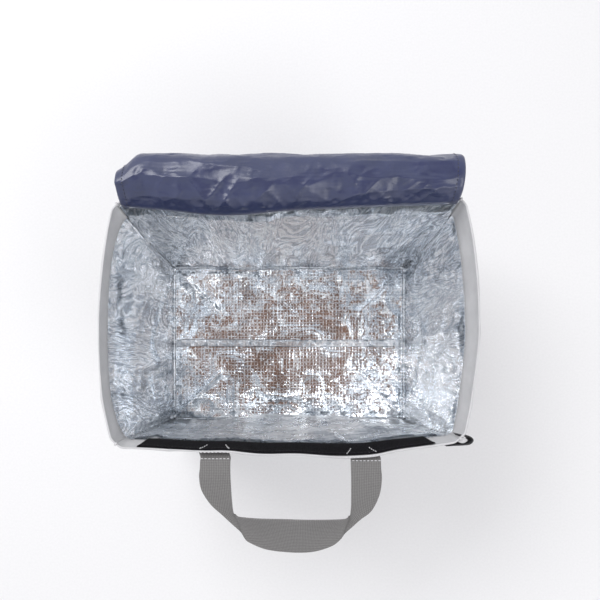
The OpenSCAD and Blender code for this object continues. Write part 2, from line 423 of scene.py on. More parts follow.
grey_fabric = woven_finish("grey_fabric", (0.50, 0.50, 0.515), (0.66, 0.66, 0.675),
                           0.55 * MM, 0.12 * MM, 0.72, sheen_weight=0.15, sheen_roughness=0.5)
navy_nylon = woven_finish("navy_nylon", (0.020, 0.028, 0.072), (0.034, 0.044, 0.118),
                          0.35 * MM, 0.03 * MM, 0.36, coat_weight=0.5, coat_roughness=0.25)
print("made", grey_fabric.name, "and", navy_nylon.name)

# %% [markdown]
# **Webbing** is a thick ribbed tape: ribs run along it, about a millimetre and a half apart, and
# each is crossed by its weft. **Loop pile** is a mat of tiny black hooks or loops, which is
# rough, almost without gloss, and speckled. **Thread** is a twisted white yarn.

# %% Finishes: webbing, pile and thread
def webbing_finish(name, dark, light):
    material, tree, shader = new_finish(name, roughness=0.62, sheen_weight=0.04,
                                        sheen_roughness=0.4)
    across, along = cloth_axes(tree)
    rib = threads(tree, across, 1.75 * MM)
    weft = threads(tree, along, 1.6 * MM)
    cloth = math_node(tree, "MULTIPLY", math_node(tree, "MULTIPLY_ADD", rib, 0.6, 0.4), math_node(
        tree, "MULTIPLY_ADD", weft, 0.5, 0.5))
    fuzz = noise_field(tree, place(tree), 700.0, detail=2.0)
    shade = math_node(tree, "MULTIPLY_ADD", fuzz, 0.35, math_node(tree, "MULTIPLY", cloth, 0.75))
    tree.links.new(colours(tree, shade, (0.15, dark), (0.8, light)), shader.inputs["Base Color"])
    tree.links.new(bump(tree, cloth, 0.8, 0.25 * MM), shader.inputs["Normal"])
    return material


def pile_finish(name, dark, light):
    material, tree, shader = new_finish(name, roughness=0.95, sheen_weight=0.02,
                                        specular_ior_level=0.15)
    spot = place(tree)
    tufts = node(tree, "ShaderNodeTexVoronoi", {"Vector": spot, "Scale": 900.0}).outputs["Distance"]
    tree.links.new(colours(tree, tufts, (0.2, light), (0.8, dark)), shader.inputs["Base Color"])
    normal = bump(tree, noise_field(tree, spot, 350.0, detail=5.0), 1.0, 0.8 * MM)
    tree.links.new(bump(tree, tufts, 0.8, 0.3 * MM, normal), shader.inputs["Normal"])
    return material


def thread_finish(name, colour):
    material, tree, shader = new_finish(name, roughness=0.5, sheen_weight=0.3)
    twist = node(tree, "ShaderNodeTexWave", {"Vector": place(tree), "Scale": 900.0,
                                             "Distortion": 1.5})
    dark = tuple(0.7 * part for part in colour)
    tree.links.new(colours(tree, twist.outputs["Fac"], (0.0, dark), (1.0, colour)),
                   shader.inputs["Base Color"])
    tree.links.new(bump(tree, twist.outputs["Fac"], 0.6, 0.1 * MM), shader.inputs["Normal"])
    return material


grey_webbing = webbing_finish("grey_webbing", (0.065, 0.064, 0.063), (0.215, 0.21, 0.209))
black_webbing = webbing_finish("black_webbing", (0.004, 0.004, 0.005), (0.02, 0.02, 0.024))
black_pile = pile_finish("black_pile", (0.001, 0.001, 0.002), (0.010, 0.009, 0.012))
white_thread = thread_finish("white_thread", (0.78, 0.78, 0.80))
grey_thread = thread_finish("grey_thread", (0.50, 0.50, 0.52))
navy_thread = thread_finish("navy_thread", (0.02, 0.023, 0.05))
print("made", len(bpy.data.materials), "materials")

# %% [markdown]
# ## The shape of the box
#
# A soft box is not five plates. Its base is a true rectangle, but its sides bow outwards towards
# the mouth, where nothing holds them, and the corners there are drawn inwards to pay for it. One
# function gives a point on any wall, at a height and at a depth into the padding. Every layer of
# the wall uses it, so fabric, facing, tape and foil all bend alike.

# %% A point on a wall
CORNER_R = 12 * MM                       # radius of the upright corners, outside
WALLS = ("front", "right", "rear", "left")
RIM_BOW = {"front": 10 * MM, "right": 15 * MM, "rear": -3 * MM, "left": 13 * MM}
BOW_POWER = {"front": 4, "right": 2.2, "rear": 3, "left": 2.0}
BELLY = {"front": 3 * MM, "right": 3 * MM, "rear": 2.5 * MM, "left": 4 * MM}
# How far the mouth's corners are pulled at the rim, by the signs of their x and y
PULL = {(-1, -1): (5, 3), (1, -1): (-9, 9), (1, 1): (-8, 10), (-1, 1): (6, 5)}
# How far the front rim stands out at places along it: the loop tape makes it wave
FRONT_WAVE = ((-1, 0), (-0.86, -4.2), (-0.66, -3.0), (-0.52, -1.6), (-0.35, -2.8), (-0.16, 0.8),
              (0.06, 0.6), (0.24, 3.8), (0.4, 5.2), (0.53, 5.4), (0.63, 1.3), (0.78, 0.4),
              (0.86, -0.7), (1, 0))


def bag_point(wall, s, z, inset):
    """A point on a wall: s runs from -1 to 1 between its corners, seen from outside."""
    s, z, inset = np.broadcast_arrays(np.asarray(s, float), np.asarray(z, float),
                                      np.asarray(inset, float))
    half_run, out = (HALF_W, HALF_D) if wall in ("front", "rear") else (HALF_D, HALF_W)
    r = np.maximum(CORNER_R - inset, 0.5 * MM)
    straight = half_run - inset - r
    q = np.abs(s) * (straight + r * math.pi / 4)
    turn = np.clip((q - straight) / r, 0, math.pi / 4)
    along = np.sign(s) * (np.minimum(q, straight) + r * np.sin(turn))
    away = out - inset - r + r * np.cos(turn)
    rise = np.clip(z / RIM, 0, 1)
    spread = 1 - np.abs(s) ** 2.3
    bow = RIM_BOW[wall] * rise ** BOW_POWER[wall] + BELLY[wall] * np.sin(math.pi * rise)
    seed = 5 + WALLS.index(wall)
    spots = np.stack([s * half_run, z, np.zeros_like(z)], axis=-1)
    bow = bow + 1.6 * MM * lumps(spots, 75 * MM, seed) * ramp(rise, 0.05, 0.4)
    if wall == "front":
        wave_s, wave_out = np.array(FRONT_WAVE).T
        wide = np.linspace(-1, 1, 81)
        soft = np.convolve(np.interp(np.linspace(-1.05, 1.05, 85), wave_s, wave_out),
                           np.full(5, 1 / 5), "valid")
        bow = bow + np.interp(s, wide, soft) * MM * rise**6
    if wall == "rear":
        bow = bow - 8 * MM * rise**3 * np.exp(-(((s - 0.42) / 0.35) ** 2))
    away = away + bow * spread
    if wall == "left":
        away = away + 11 * MM * np.exp(-(((z - 0.250) / 0.034) ** 2)) * (1 - np.abs(s) ** 6)
    x, y = {"front": (along, -away), "right": (away, along),
            "rear": (-along, away), "left": (-away, -along)}[wall]
    u, v = x / HALF_W, y / HALF_D
    pull = rise**3 * MM
    dx = sum(px * (1 + i * u) * (1 + j * v) / 4 for (i, j), (px, py) in PULL.items())
    dy = sum(py * (1 + i * u) * (1 + j * v) / 4 for (i, j), (px, py) in PULL.items())
    return np.stack([x + pull * dx, y + pull * dy, z + 0 * x], axis=-1)


print("rim at mid front:", np.round(bag_point("front", 0, RIM, 0), 4).tolist())

# %% [markdown]
# ## Outer fabric and facing
#
# Each outer panel is one sheet: it starts under the base, turns up the wall, goes over the foam
# at the rim, and comes down inside as the facing, where its edge is turned under. A panel could
# be a plane with modifiers, but the same profile on all four walls lets their edges meet along
# the upright seams. A solidify step then gives the fabric its thickness.

# %% Outer panels with their facings
BASE_R = 8 * MM                          # radius of the lower edges
RIM_R = 0.85 * MM                        # radius of the fold over the rim
FACING_LIFT = 0.5 * MM                   # how far the facing stands off the foam
FACING_ROW = 92                          # the row of the profile where the wall turns inside


def facing_in(z):
    """How far in the facing's face lies: the foam stops short of the rim, so the hem is thin."""
    return (WALL + FACING_LIFT) + (2 * RIM_R - WALL - FACING_LIFT) * ramp(
        z, FACING_Z + 3 * MM, RIM - RIM_R)


def outer_profile():
    """Heights and insets of the outer fabric, from under the base to the facing's edge."""
    low = np.linspace(0, math.pi / 2, 7)
    over = np.linspace(0, math.pi, 13)[1:]
    wall = np.linspace(BASE_R, RIM - RIM_R, 86)[1:]
    inside = np.linspace(RIM - RIM_R, FACING_Z, 14)[1:]
    z = np.concatenate([BASE_R * (1 - np.cos(low)), wall, RIM - RIM_R + RIM_R * np.sin(over),
                        inside, [FACING_Z - 0.5 * MM, FACING_Z + 0.6 * MM]])
    inset = np.concatenate([BASE_R * (1 - np.sin(low)), 0 * wall, RIM_R * (1 - np.cos(over)),
                            facing_in(inside), [WALL + 0.1 * MM, WALL - 1.2 * MM]])
    return z, inset


def thicken(piece, thickness, offset=-1.0):
    """Gives a sheet its thickness, and applies it."""
    solid = piece.modifiers.new("thickness", "SOLIDIFY")
    solid.thickness, solid.offset = thickness, offset
    apply_modifiers(piece)


def apply_modifiers(piece):
    graph = bpy.context.evaluated_depsgraph_get()
    done = bpy.data.meshes.new_from_object(piece.evaluated_get(graph))
    piece.modifiers.clear()
    old, piece.data = piece.data, done
    bpy.data.meshes.remove(old)
    piece.data.name = piece.name


def dress(piece, material, body="bag"):
    """Gives a piece its finish and the body that it rides on."""
    piece.data.materials.clear()
    piece.data.materials.append(material)
    if body:
        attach(piece, body)
    return piece


profile_z, profile_in = outer_profile()
outer_panels = {}
for wall in WALLS:
    s = np.linspace(-1, 1, 121)
    spots = bag_point(wall, s[None, :], profile_z[:, None], profile_in[:, None])
    edge = ramp(1 - np.abs(s), 0, 0.05)[None, :] * ramp(profile_z, 0, 40 * MM)[:, None]
    drag = ridges(spots * (1, 1, 0.6), 52 * MM, 21) * 1.6 + lumps(spots, 19 * MM, 22) * 0.35
    flat = np.where(np.arange(len(profile_z)) > FACING_ROW, 0.35, 1.0)[:, None]
    inward = (bag_point(wall, s[None, :], profile_z[:, None], 1 * MM)
              - bag_point(wall, s[None, :], profile_z[:, None], 0))
    spots = spots - inward * (0.8 * drag * edge * flat)[..., None]
    run = lengths(spots[len(spots) // 2])
    rise = lengths(spots[:, len(s) // 2])
    panel = sheet(f"outer_{wall}_panel", spots, run[None, :], rise[:, None])
    thicken(panel, 0.8 * MM)
    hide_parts(f"outer_{wall}", f"facing_{wall}")
    outer_panels[wall] = dress(panel, grey_fabric)
print("outer panels:", ", ".join(p.name for p in outer_panels.values()))

# %% [markdown]
# The base panel closes the box. Its outline could be shrunk in steps to a point, but that pinches
# the weave at the centre. It is instead blended from its four edges (a Coons patch), which keeps
# the weave square, and the foam and the foil floor are made in the same way.

# %% Base panel
def patch(z, inset, columns, rows):
    """A floor blended from the outline's four edges: (rows, columns, 3)."""
    u, v = np.linspace(-1, 1, columns), np.linspace(-1, 1, rows)
    front, rear = bag_point("front", u, z, inset), bag_point("rear", -u, z, inset)
    right, left = bag_point("right", v, z, inset), bag_point("left", -v, z, inset)
    a, b = ((u + 1) / 2)[None, :, None], ((v + 1) / 2)[:, None, None]
    edges = (1 - b) * front[None] + b * rear[None] + (1 - a) * left[:, None] + a * right[:, None]
    ends = ((1 - a) * (1 - b) * front[0] + a * (1 - b) * front[-1] + (1 - a) * b * rear[0]
            + a * b * rear[-1])
    return edges - ends


under = patch(0.0, BASE_R, 61, 41)
base_panel = sheet("outer_base_panel", under, under[..., 0], under[..., 1], flip=True)
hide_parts("outer_base")
dress(base_panel, grey_fabric)
print("base panel", [round(d, 3) for d in base_panel.dimensions])

# %% [markdown]
# ## Foam
#
# The foam is sealed between the outer fabric and the foil, so nobody sees it, but it is what
# gives the wall its body. Each sheet is a closed slab that follows the same wall function, a
# little inside both skins.

# %% Foam sheets
FOAM_IN = 2.0 * MM
FOAM_T = 2.2 * MM
foam_white, foam_tree, foam_shader = new_finish("foam_white", roughness=0.9)
foam_cells = noise_field(foam_tree, place(foam_tree), 900.0, detail=2.0)
foam_tree.links.new(colours(foam_tree, foam_cells, (0.3, (0.75, 0.76, 0.77)),
                            (0.7, (0.9, 0.9, 0.9))), foam_shader.inputs["Base Color"])
foam_tree.links.new(bump(foam_tree, foam_cells, 0.5, 0.3 * MM), foam_shader.inputs["Normal"])
for wall in WALLS:
    s, z = np.linspace(-0.985, 0.985, 41), np.linspace(6 * MM, RIM - 18 * MM, 31)
    slab = bag_point(wall, s[None, :], z[:, None], FOAM_IN)
    foam = sheet(f"foam_{wall}_sheet", slab, lengths(slab[0])[None, :], z[:, None])
    thicken(foam, FOAM_T)
    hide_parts(f"foam_{wall}")
    dress(foam, foam_white)
slab = patch(FOAM_IN, BASE_R + 3 * MM, 41, 31)
foam = sheet("foam_base_sheet", slab, slab[..., 0], slab[..., 1], flip=True)
thicken(foam, FOAM_T)
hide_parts("foam_base")
dress(foam, foam_white)
print("foam sheets made")

# %% [markdown]
# ## Foil lining
#
# The lining is what the eye goes to. Handling has crumpled it at every size: slow swells from
# the foam behind, long sharp creases, and a fine crackle. The large ones are modelled, because
# they move the outline and the reflections; the finest are left to the bump. The bag folds flat
# for storage, so it also remembers its fold lines: one down the middle of each side wall, one
# across the floor, and a diagonal out of each floor corner.

# %% The foil's creases
FOIL_IN = WALL - 0.4 * MM
FLOOR_IN = WALL + 3 * MM
FOLD_TOP = HALF_D                        # height where a side wall's diagonal folds meet


def crumple(points, seed):
    """How far the foil stands off its foam, in metres, at points."""
    return (1.9 * MM * lumps(points, 46 * MM, seed)
            + 2.6 * MM * ridges(points, 33 * MM, seed + 1)
            + 0.9 * MM * ridges(points, 12 * MM, seed + 2)
            + 0.35 * MM * ridges(points, 5 * MM, seed + 3))


def crease(distance, width, height):
    """A sharp fold line: a tent whose sides are hollow."""
    return height * np.exp(-np.abs(distance) / width)


def wall_relief(wall, points):
    """How far a foil wall stands off its foam: its crumple, the front's sag, the sides' folds."""
    seed = 31 + 7 * WALLS.index(wall)
    relief = crumple(points * (1, 1, 0.55), seed)
    if wall == "front":
        along = np.clip(1 - (points[..., 0] / HALF_W / 0.92) ** 2, 0, 1)
        above = points[..., 2] - (82 + 140 * (1 - along)) * MM
        reach = np.where(above > 0, 120 * MM, 15 * MM)
        relief = relief + 16 * MM * along * np.exp(-((above / reach) ** 2))
    if wall in ("left", "right"):
        y, up = points[..., 1], points[..., 2] - FLOOR_Z
        upper = crease(y - 3 * MM, 6 * MM, 3.5 * MM) * ramp(up, FOLD_TOP * 0.8, FOLD_TOP)
        slant = (up - (HALF_D - np.abs(y))) / math.sqrt(2)
        lower = crease(slant, 5 * MM, 4.5 * MM) * (1 - ramp(up, FOLD_TOP * 0.9, FOLD_TOP * 1.1))
        relief = relief + upper + lower
    return relief


def floor_height(x, y):
    """The height of the foil floor at x and y."""
    points = np.stack(np.broadcast_arrays(x, y, 0.0 * x), axis=-1)
    corner_x, corner_y = HALF_W - FLOOR_IN - np.abs(x), HALF_D - FLOOR_IN - np.abs(y)
    near = np.minimum(corner_x, corner_y)
    edge = ramp(near, 0, 12 * MM)
    diagonal = crease((corner_x - corner_y) / math.sqrt(2), 5 * MM, 5 * MM)
    diagonal = diagonal * ramp(near, 0, 10 * MM) * (1 - ramp(near, 55 * MM, 85 * MM))
    seam = crease(near, 2.5 * MM, 2.2 * MM)
    outside = ramp(np.maximum(np.abs(x + 12 * MM) / HALF_W, np.abs(y - 4 * MM) / HALF_D), 0.5, 0.8)
    rough = 0.8 + 0.45 * outside
    pinch = 0.4 + 0.6 * ridges(points, 14 * MM, 66)
    return FLOOR_Z + edge * crumple(points, 61) * rough + diagonal + seam * pinch


print("crumple spans", np.round(np.ptp(crumple(bag_point("left", np.linspace(-1, 1, 99), 0.1, 0),
                                               40)) * 1000, 2), "mm")

# %% Foil walls
foil_rows = np.linspace(FACING_Z + 6 * MM, FLOOR_Z + 5 * MM, 112)
foil_turn = np.linspace(0, math.pi / 2, 6)[1:]
foil_z = np.concatenate([foil_rows, FLOOR_Z + 5 * MM - 5 * MM * np.sin(foil_turn)])
foil_in = np.concatenate([np.full(len(foil_rows), FOIL_IN),
                          FOIL_IN + (FLOOR_IN - FOIL_IN) * (1 - np.cos(foil_turn))])
for wall in WALLS:
    s = np.linspace(-1, 1, 169 if wall in ("front", "rear") else 121)
    z_rows, in_rows, top = foil_z, foil_in, FACING_Z
    if wall == "rear":
        upper = np.linspace(RIM - 3 * MM, FACING_Z + 8 * MM, 12)
        z_rows = np.concatenate([upper, foil_z])
        in_rows = np.concatenate([facing_in(upper), foil_in]) + 1.2 * MM * ramp(
            z_rows, FACING_Z - 20 * MM, FACING_Z + 2 * MM)
        top = RIM
    flat = bag_point(wall, s[None, :], z_rows[:, None], in_rows[:, None])
    edge = (ramp(1 - np.abs(s), 0, 0.06)[None, :] * ramp(z_rows, FLOOR_Z, 18 * MM)[:, None]
            * (1 - ramp(z_rows, top - 9 * MM, top)[:, None]))
    inward = bag_point(wall, s[None, :], z_rows[:, None], in_rows[:, None] + 1 * MM) - flat
    lift = wall_relief(wall, flat) * edge / MM
    spots = flat + inward * lift[..., None]
    foil = sheet(f"foil_{wall}_sheet", spots, lengths(flat[40])[None, :],
                 lengths(flat[:, len(s) // 2])[:, None])
    thicken(foil, 0.3 * MM, offset=1.0)
    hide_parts(f"foil_{wall}")
    dress(foil, foil_front if wall == "front" else foil_wall)
print("foil walls made")

# %% [markdown]
# The floor is one sheet with its seam pinched up round the edge, and a second, narrow strip laps
# over it across the middle, where two widths of foil were joined. The strip takes its height
# from the floor's own function, so it lies on every swell.

# %% Foil floor and lap seam
floor_grid = patch(FLOOR_Z, FLOOR_IN, 201, 141)
inner = floor_grid[1:-1, 1:-1]
inner[..., 2] = floor_height(inner[..., 0], inner[..., 1])
foil_base = sheet("foil_base_sheet", floor_grid, floor_grid[..., 0], floor_grid[..., 1])
thicken(foil_base, 0.3 * MM)
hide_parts("foil_base")
dress(foil_base, foil_floor)

LAP_W = 11 * MM
LAP_END = HALF_W - FLOOR_IN - 2 * MM
lap_x = np.linspace(-LAP_END, LAP_END, 201)
lap_v = np.linspace(-1, 1, 9)
gx, gy = np.meshgrid(lap_x, lap_v * LAP_W / 2)
gy = gy + 1.0 * MM * lumps_along(lap_x, 60 * MM, 71)
crown = 0.9 * MM * (1 - lap_v[:, None] ** 6) + 0.25 * MM
lap = sheet("floor_lap_strip", np.stack([gx, gy, floor_height(gx, gy) + crown], axis=-1), gx, gy)
thicken(lap, 0.3 * MM)
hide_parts("floor_lap")
dress(lap, foil_lap)
print("floor", [round(d, 3) for d in foil_base.dimensions])

# %% [markdown]
# ## Tapes, straps and thread
#
# A stitch is a short length of thread lying on the cloth, with a hole at each end. A run of them
# follows any line on a surface, so the same function sews hems, box stitches and the lid's ends.

# %% Stitches
def stitches(name, lines, thick=0.7 * MM, length=2.6 * MM, gap=1.0 * MM):
    """Thread dashes along lines, each given as (points, outward normals)."""
    points, faces = [], []
    turns = np.linspace(0, math.tau, 6, endpoint=False)
    # Each dash dives into the cloth at its ends: its place along, its width and its lift
    shape = ((0.0, 0.25, -0.35), (0.18, 0.8, 0.3), (0.5, 1.0, 0.45), (0.82, 0.8, 0.3),
             (1.0, 0.25, -0.35))
    for path, normals in lines:
        path, normals = np.asarray(path), np.asarray(normals)
        along = lengths(path)
        count = max(1, int(along[-1] / (length + gap)))
        for start in np.arange(count) * along[-1] / count:
            rings = []
            for part, wide, lift in shape:
                at = min(start + part * length, along[-1])
                spot = np.array([np.interp(at, along, path[:, k]) for k in range(3)])
                ahead = np.array([np.interp(min(at + 0.5 * MM, along[-1]), along, path[:, k])
                                  - np.interp(max(at - 0.5 * MM, 0), along, path[:, k])
                                  for k in range(3)])
                out = np.array([np.interp(at, along, normals[:, k]) for k in range(3)])
                ahead = ahead / max(np.linalg.norm(ahead), 1e-9)
                out = out - ahead * out.dot(ahead)
                out = out / max(np.linalg.norm(out), 1e-9)
                cross = np.cross(ahead, out)
                rings.append(spot + out * lift * thick + wide * thick / 2 * (
                    np.cos(turns)[:, None] * cross + np.sin(turns)[:, None] * out))
            faces += tube_faces(len(shape), len(turns), len(points))
            points += [spot for ring in rings for spot in ring]
    return finish_mesh(name, points, faces)


def wall_line(wall, s, z, inset):
    """A line on a wall with its outward normals, for stitching."""
    path = bag_point(wall, s, z, inset)
    deeper = bag_point(wall, s, z, np.asarray(inset) + 0.2 * MM)
    out = path - deeper
    return path, out / np.linalg.norm(out, axis=1)[:, None]


hem_lines = []
for wall in WALLS:
    s = np.linspace(-0.97, 0.97, 90)
    hem_lines.append(wall_line(wall, s, RIM - 5 * MM, 0.0))
    path, out = wall_line(wall, s, FACING_Z + 4 * MM, facing_in(FACING_Z + 4 * MM))
    hem_lines.append((path, -out))
hems = stitches("hem_stitches", hem_lines)
dress(hems, grey_thread)
print("hem stitches:", len(hems.data.polygons), "faces")

# %% [markdown]
# The corner seams are bound: two panel edges are sewn together and stand out as a thin welt. A
# strip with a rounded section, swept up each corner, covers the meeting of the panels.

# %% Corner welts
def sweep(name, path, radius, flatness=1.0, sides=10):
    """A round or flattened rod along a path."""
    ahead = np.gradient(path, axis=0)
    ahead /= np.linalg.norm(ahead, axis=1)[:, None]
    helper = np.where(np.abs(ahead[:, 2:3]) > 0.9, [[1.0, 0.0, 0.0]], [[0.0, 0.0, 1.0]])
    side = np.cross(ahead, helper)
    side /= np.linalg.norm(side, axis=1)[:, None]
    up = np.cross(side, ahead)
    turns = np.linspace(0, math.tau, sides, endpoint=False)
    grid = (path[:, None] + radius * np.cos(turns)[None, :, None] * side[:, None]
            + radius * flatness * np.sin(turns)[None, :, None] * up[:, None])
    uvs = grid_uvs(turns[None, :] * radius, lengths(path)[:, None], ring=True).tolist()
    return finish_mesh(name, grid, tube_faces(len(path), sides), uvs + end_uvs(0 * turns))


for wall in WALLS:
    rows = slice(3, 104)
    path = bag_point(wall, 1.0, profile_z[rows], profile_in[rows] - 0.3 * MM)
    welt = sweep(f"corner_welt_{wall}", path, 1.3 * MM)
    dress(welt, grey_fabric)
print("corner welts made")

# %% [markdown]
# The loop tape is sewn on the facing inside the front rim, and a run of stitches holds each of
# its long edges. It is stiffer than the fabric, so it waves a little where the wall gives.

# %% Loop tape on the front facing
TAPE_LOW, TAPE_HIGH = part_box("loop_tape")[0].z, RIM - 0.6 * MM
TAPE_W = 25 * MM
FRONT_RUN = HALF_W - 9 * MM              # turns an x on the front or the rear wall into s


def tape_grid(inset):
    """One face of the tape, at a height over the facing."""
    v, u = np.meshgrid(np.linspace(0, 1, 13), np.linspace(0, 1, 181), indexing="ij")
    left, right = -0.1505 - 0.003 * v, 0.1445 + 0.005 * v
    s = (left + (right - left) * u) / FRONT_RUN
    z = TAPE_LOW + (TAPE_HIGH - TAPE_LOW) * v
    ripple = lumps(np.stack([s, z, 0 * s], axis=-1) * (1, 0.4, 1), 0.16, 81)
    sag = 1.5 * MM * lumps_along(s, 0.2, 82) * (1 - v)
    return bag_point("front", s, z + sag, facing_in(z) + inset + 0.3 * MM * (ripple + 1))


front, back = tape_grid(1.5 * MM), tape_grid(0.0)
rows, cols = front.shape[:2]
section = np.concatenate([front, back[::-1]], axis=0).transpose(1, 0, 2)
across = np.concatenate([np.linspace(0, TAPE_W, rows), np.linspace(TAPE_W, 0, rows)])
tape_uvs = grid_uvs(across[None, :], lengths(front[rows // 2])[:, None], ring=True).tolist()
loop_tape = finish_mesh("loop_tape_strip", section, tube_faces(cols, 2 * rows),
                        tape_uvs + end_uvs(across))
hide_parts("loop_tape")
dress(loop_tape, black_pile)
tape_lines = []
for z in (TAPE_LOW + 2 * MM, TAPE_HIGH - 2 * MM):
    path, out = wall_line("front", np.linspace(-0.149, 0.143, 120) / FRONT_RUN, z,
                          facing_in(z) + 1.8 * MM)
    tape_lines.append((path, -out))
tape_stitches = stitches("loop_tape_stitches", tape_lines, thick=0.5 * MM)
dress(tape_stitches, black_webbing)
print("loop tape", [round(d, 3) for d in loop_tape.dimensions])

# %% [markdown]
# ## Carry loops
#
# Each loop is one length of webbing whose two ends are sewn to the wall. Webbing cannot turn in
# its own plane, so at each lower corner it rolls over on itself and leaves a deep fold there. A
# ribbon is described by its two edges, station by station, and smoothed: that way the roll, the
# fold and the slack in the middle are all set by where the edges go.

# %% Ribbons
class Ribbon:
    """A strap between two edges, with a normal everywhere and a length along it."""

    def __init__(self, stations, width, thick, count=260):
        fine = smooth_path(stations, count)
        self.first, self.second, self.arch = fine[:, :3], fine[:, 3:6], fine[:, 6]
        self.width, self.thick = width, thick
        self.along = lengths((self.first + self.second) / 2)
        side = self.second - self.first
        ahead = np.gradient((self.first + self.second) / 2, axis=0)
        normal = np.cross(side, ahead)
        self.normal = normal / np.linalg.norm(normal, axis=1)[:, None]

    def spot(self, across, lift=0.0):
        """Points at `across` from -1 to 1 over every station: (stations, across, 3)."""
        across = np.atleast_1d(across)[None, :, None]
        middle = (self.first + self.second)[:, None] / 2
        half = (self.second - self.first)[:, None] / 2
        rise = self.arch[:, None, None] * (1 - across**2) + lift
        return middle + half * across + self.normal[:, None] * rise

    def mesh(self, name, wave, seed):
        """The strap as a closed tube. Its weave is measured from the inner edge."""
        half = self.width / 2
        across, through = strap_section(self.width, self.thick, 17)
        grid = self.spot(across / half) + self.normal[:, None] * through[None, :, None]
        ripple = wave * lumps(grid, 24 * MM, seed)
        grid = grid + self.normal[:, None] * ripple[..., None]
        seen = np.linalg.norm(self.second - self.first, axis=1)[:, None]
        woven = half - (1 - across / half)[None, :] / 2 * seen
        uvs = grid_uvs(woven, self.along[:, None], ring=True).tolist()
        ends = end_uvs(across, float(self.along[0]), float(self.along[-1]))
        return finish_mesh(name, grid, tube_faces(*grid.shape[:2]), uvs + ends)

    def line(self, across_1, along_1, across_2, along_2, lift):
        """A straight run of stitching over the strap, with its normals."""
        t = np.linspace(0, 1, 24)
        along = along_1 + (along_2 - along_1) * t
        across = across_1 + (across_2 - across_1) * t
        row = np.interp(along, self.along, np.arange(len(self.along)))
        low = np.clip(row.astype(int), 0, len(self.along) - 2)
        part = (row - low)[:, None]
        every = self.spot(across, lift)
        pick = np.arange(len(t))
        points = every[low, pick] * (1 - part) + every[low + 1, pick] * part
        return points, self.normal[low] * math.copysign(1, lift)


print("ribbons ready")

# %% [markdown]
# The front loop lies out level, as it was left. Its legs come up the outside of the wall, turn
# outwards just below the rim, and taper under the crown, whose ends roll down over them.

# %% Front carry loop
LEG_X = 75 * MM                          # x of the middle of each leg
STRAP_W, STRAP_T = 30 * MM, 2.0 * MM
LEFT_LEG = (-90.5 * MM, -59.8 * MM)      # x of a leg's outer and inner edges
RIGHT_LEG = (91.5 * MM, 61.0 * MM)


def leg_stations(wall, edges, heights, fold, rise=0.0):
    """Stations up a wall and out over the fold, for a leg between two x's. Lengths in mm."""
    facing_x = 1 if wall == "front" else -1
    rows = []
    for z in heights:
        spots = [bag_point(wall, facing_x * x / FRONT_RUN, z * MM, -1.1 * MM) for x in edges]
        rows.append([*spots[0], *spots[1], 0.0])
    for y, z in fold:
        rows.append([edges[0], y * MM, z * MM, edges[1], y * MM, z * MM, rise * MM])
    return rows


# Each row: outer edge x, y, z, inner edge x, y, z, and how far the middle stands up, in mm
LEFT_CORNER = (
    (-91, -150, 299, -59.5, -150, 298.5, 0.5), (-88.5, -163, 298.5, -58.7, -165, 298, 1.5),
    (-80, -177, 296, -57.8, -177, 297.5, 2.5), (-68.5, -188.5, 293, -57.2, -184, 296, 2.0),
    (-58.5, -199, 290, -56.6, -187, 294, 1.0), (-48, -209.5, 288, -56, -188, 292, 0.0),
    (-45.5, -212.5, 290.5, -55, -188.2, 295.5, 1.5), (-41, -217, 291.5, -51, -189.3, 298, 3.0),
)
CROWN = (
    (-24, -225.5, 287, -32, -190.3, 301, 3.0), (2, -229, 285.5, -2, -191.2, 299.5, 1.0),
    (24, -228, 286.5, 27, -191.7, 300.5, 2.5),
)
RIGHT_CORNER = (
    (42, -221, 291, 53, -191.6, 298.5, 3.5), (50.5, -214.5, 290, 59, -190.6, 296, 1.5),
    (53.5, -211.5, 287.5, 60.2, -190, 292, 0.0), (62.5, -202.5, 289.5, 60.8, -188.3, 293.5, 1.0),
    (71.5, -193.5, 292.5, 61, -184.5, 295.5, 2.0), (82.3, -184, 295.5, 61.3, -177, 297.5, 2.5),
    (89.5, -168, 298.5, 61.3, -165, 298, 1.5), (92, -152, 299, 61.2, -150, 298.5, 0.5),
)
left_leg, right_leg = [
    leg_stations("front", edges, (267.0, 275.0, 283.0, 289.0),
                 ((-130.3, 293.6), (-134.0, 296.3), (-140.0, 297.6)), rise=0.3)
    for edges in (LEFT_LEG, RIGHT_LEG)]
loose = np.array(LEFT_CORNER + CROWN + RIGHT_CORNER) * MM
front_ribbon = Ribbon(np.concatenate([left_leg, loose, right_leg[::-1]]), STRAP_W, STRAP_T)
front_loop = front_ribbon.mesh("front_loop_strap", wave=0.35 * MM, seed=91)
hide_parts("front_handle", "front_handle_ends")
dress(front_loop, grey_webbing, body=None)
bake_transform(front_loop)
print("front loop", [round(d, 3) for d in front_loop.dimensions])

# %% [markdown]
# The rear loop hangs down behind the bag, under the lid. It is the same webbing, so its ribbon
# is the front one's turned down about its own fold, and drawn flatter against the wall.

# %% Rear carry loop
FRONT_FOLD_Y, REAR_FOLD_Y, FOLD_Z = -134 * MM, 134.9 * MM, 295 * MM
left_leg, right_leg = [
    leg_stations("rear", edges, (267.0, 275.0, 283.0, 288.0),
                 ((129.0, 292.5), (133.5, 294.6), (137.6, 291.5), (138.6, 284.0)))
    for edges in (LEFT_LEG, RIGHT_LEG)]
hung = loose.copy()
hung[:, [1, 4]] = REAR_FOLD_Y + (loose[:, [2, 5]] - FOLD_Z) * 0.7
hung[:, [2, 5]] = FOLD_Z + loose[:, [1, 4]] - FRONT_FOLD_Y
rear_ribbon = Ribbon(np.concatenate([left_leg, hung, right_leg[::-1]]), STRAP_W, STRAP_T)
rear_loop = rear_ribbon.mesh("rear_loop_strap", wave=0.3 * MM, seed=97)
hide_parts("rear_handle", "rear_handle_ends")
dress(rear_loop, grey_webbing, body=None)
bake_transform(rear_loop)
print("rear loop", [round(d, 3) for d in rear_loop.dimensions])

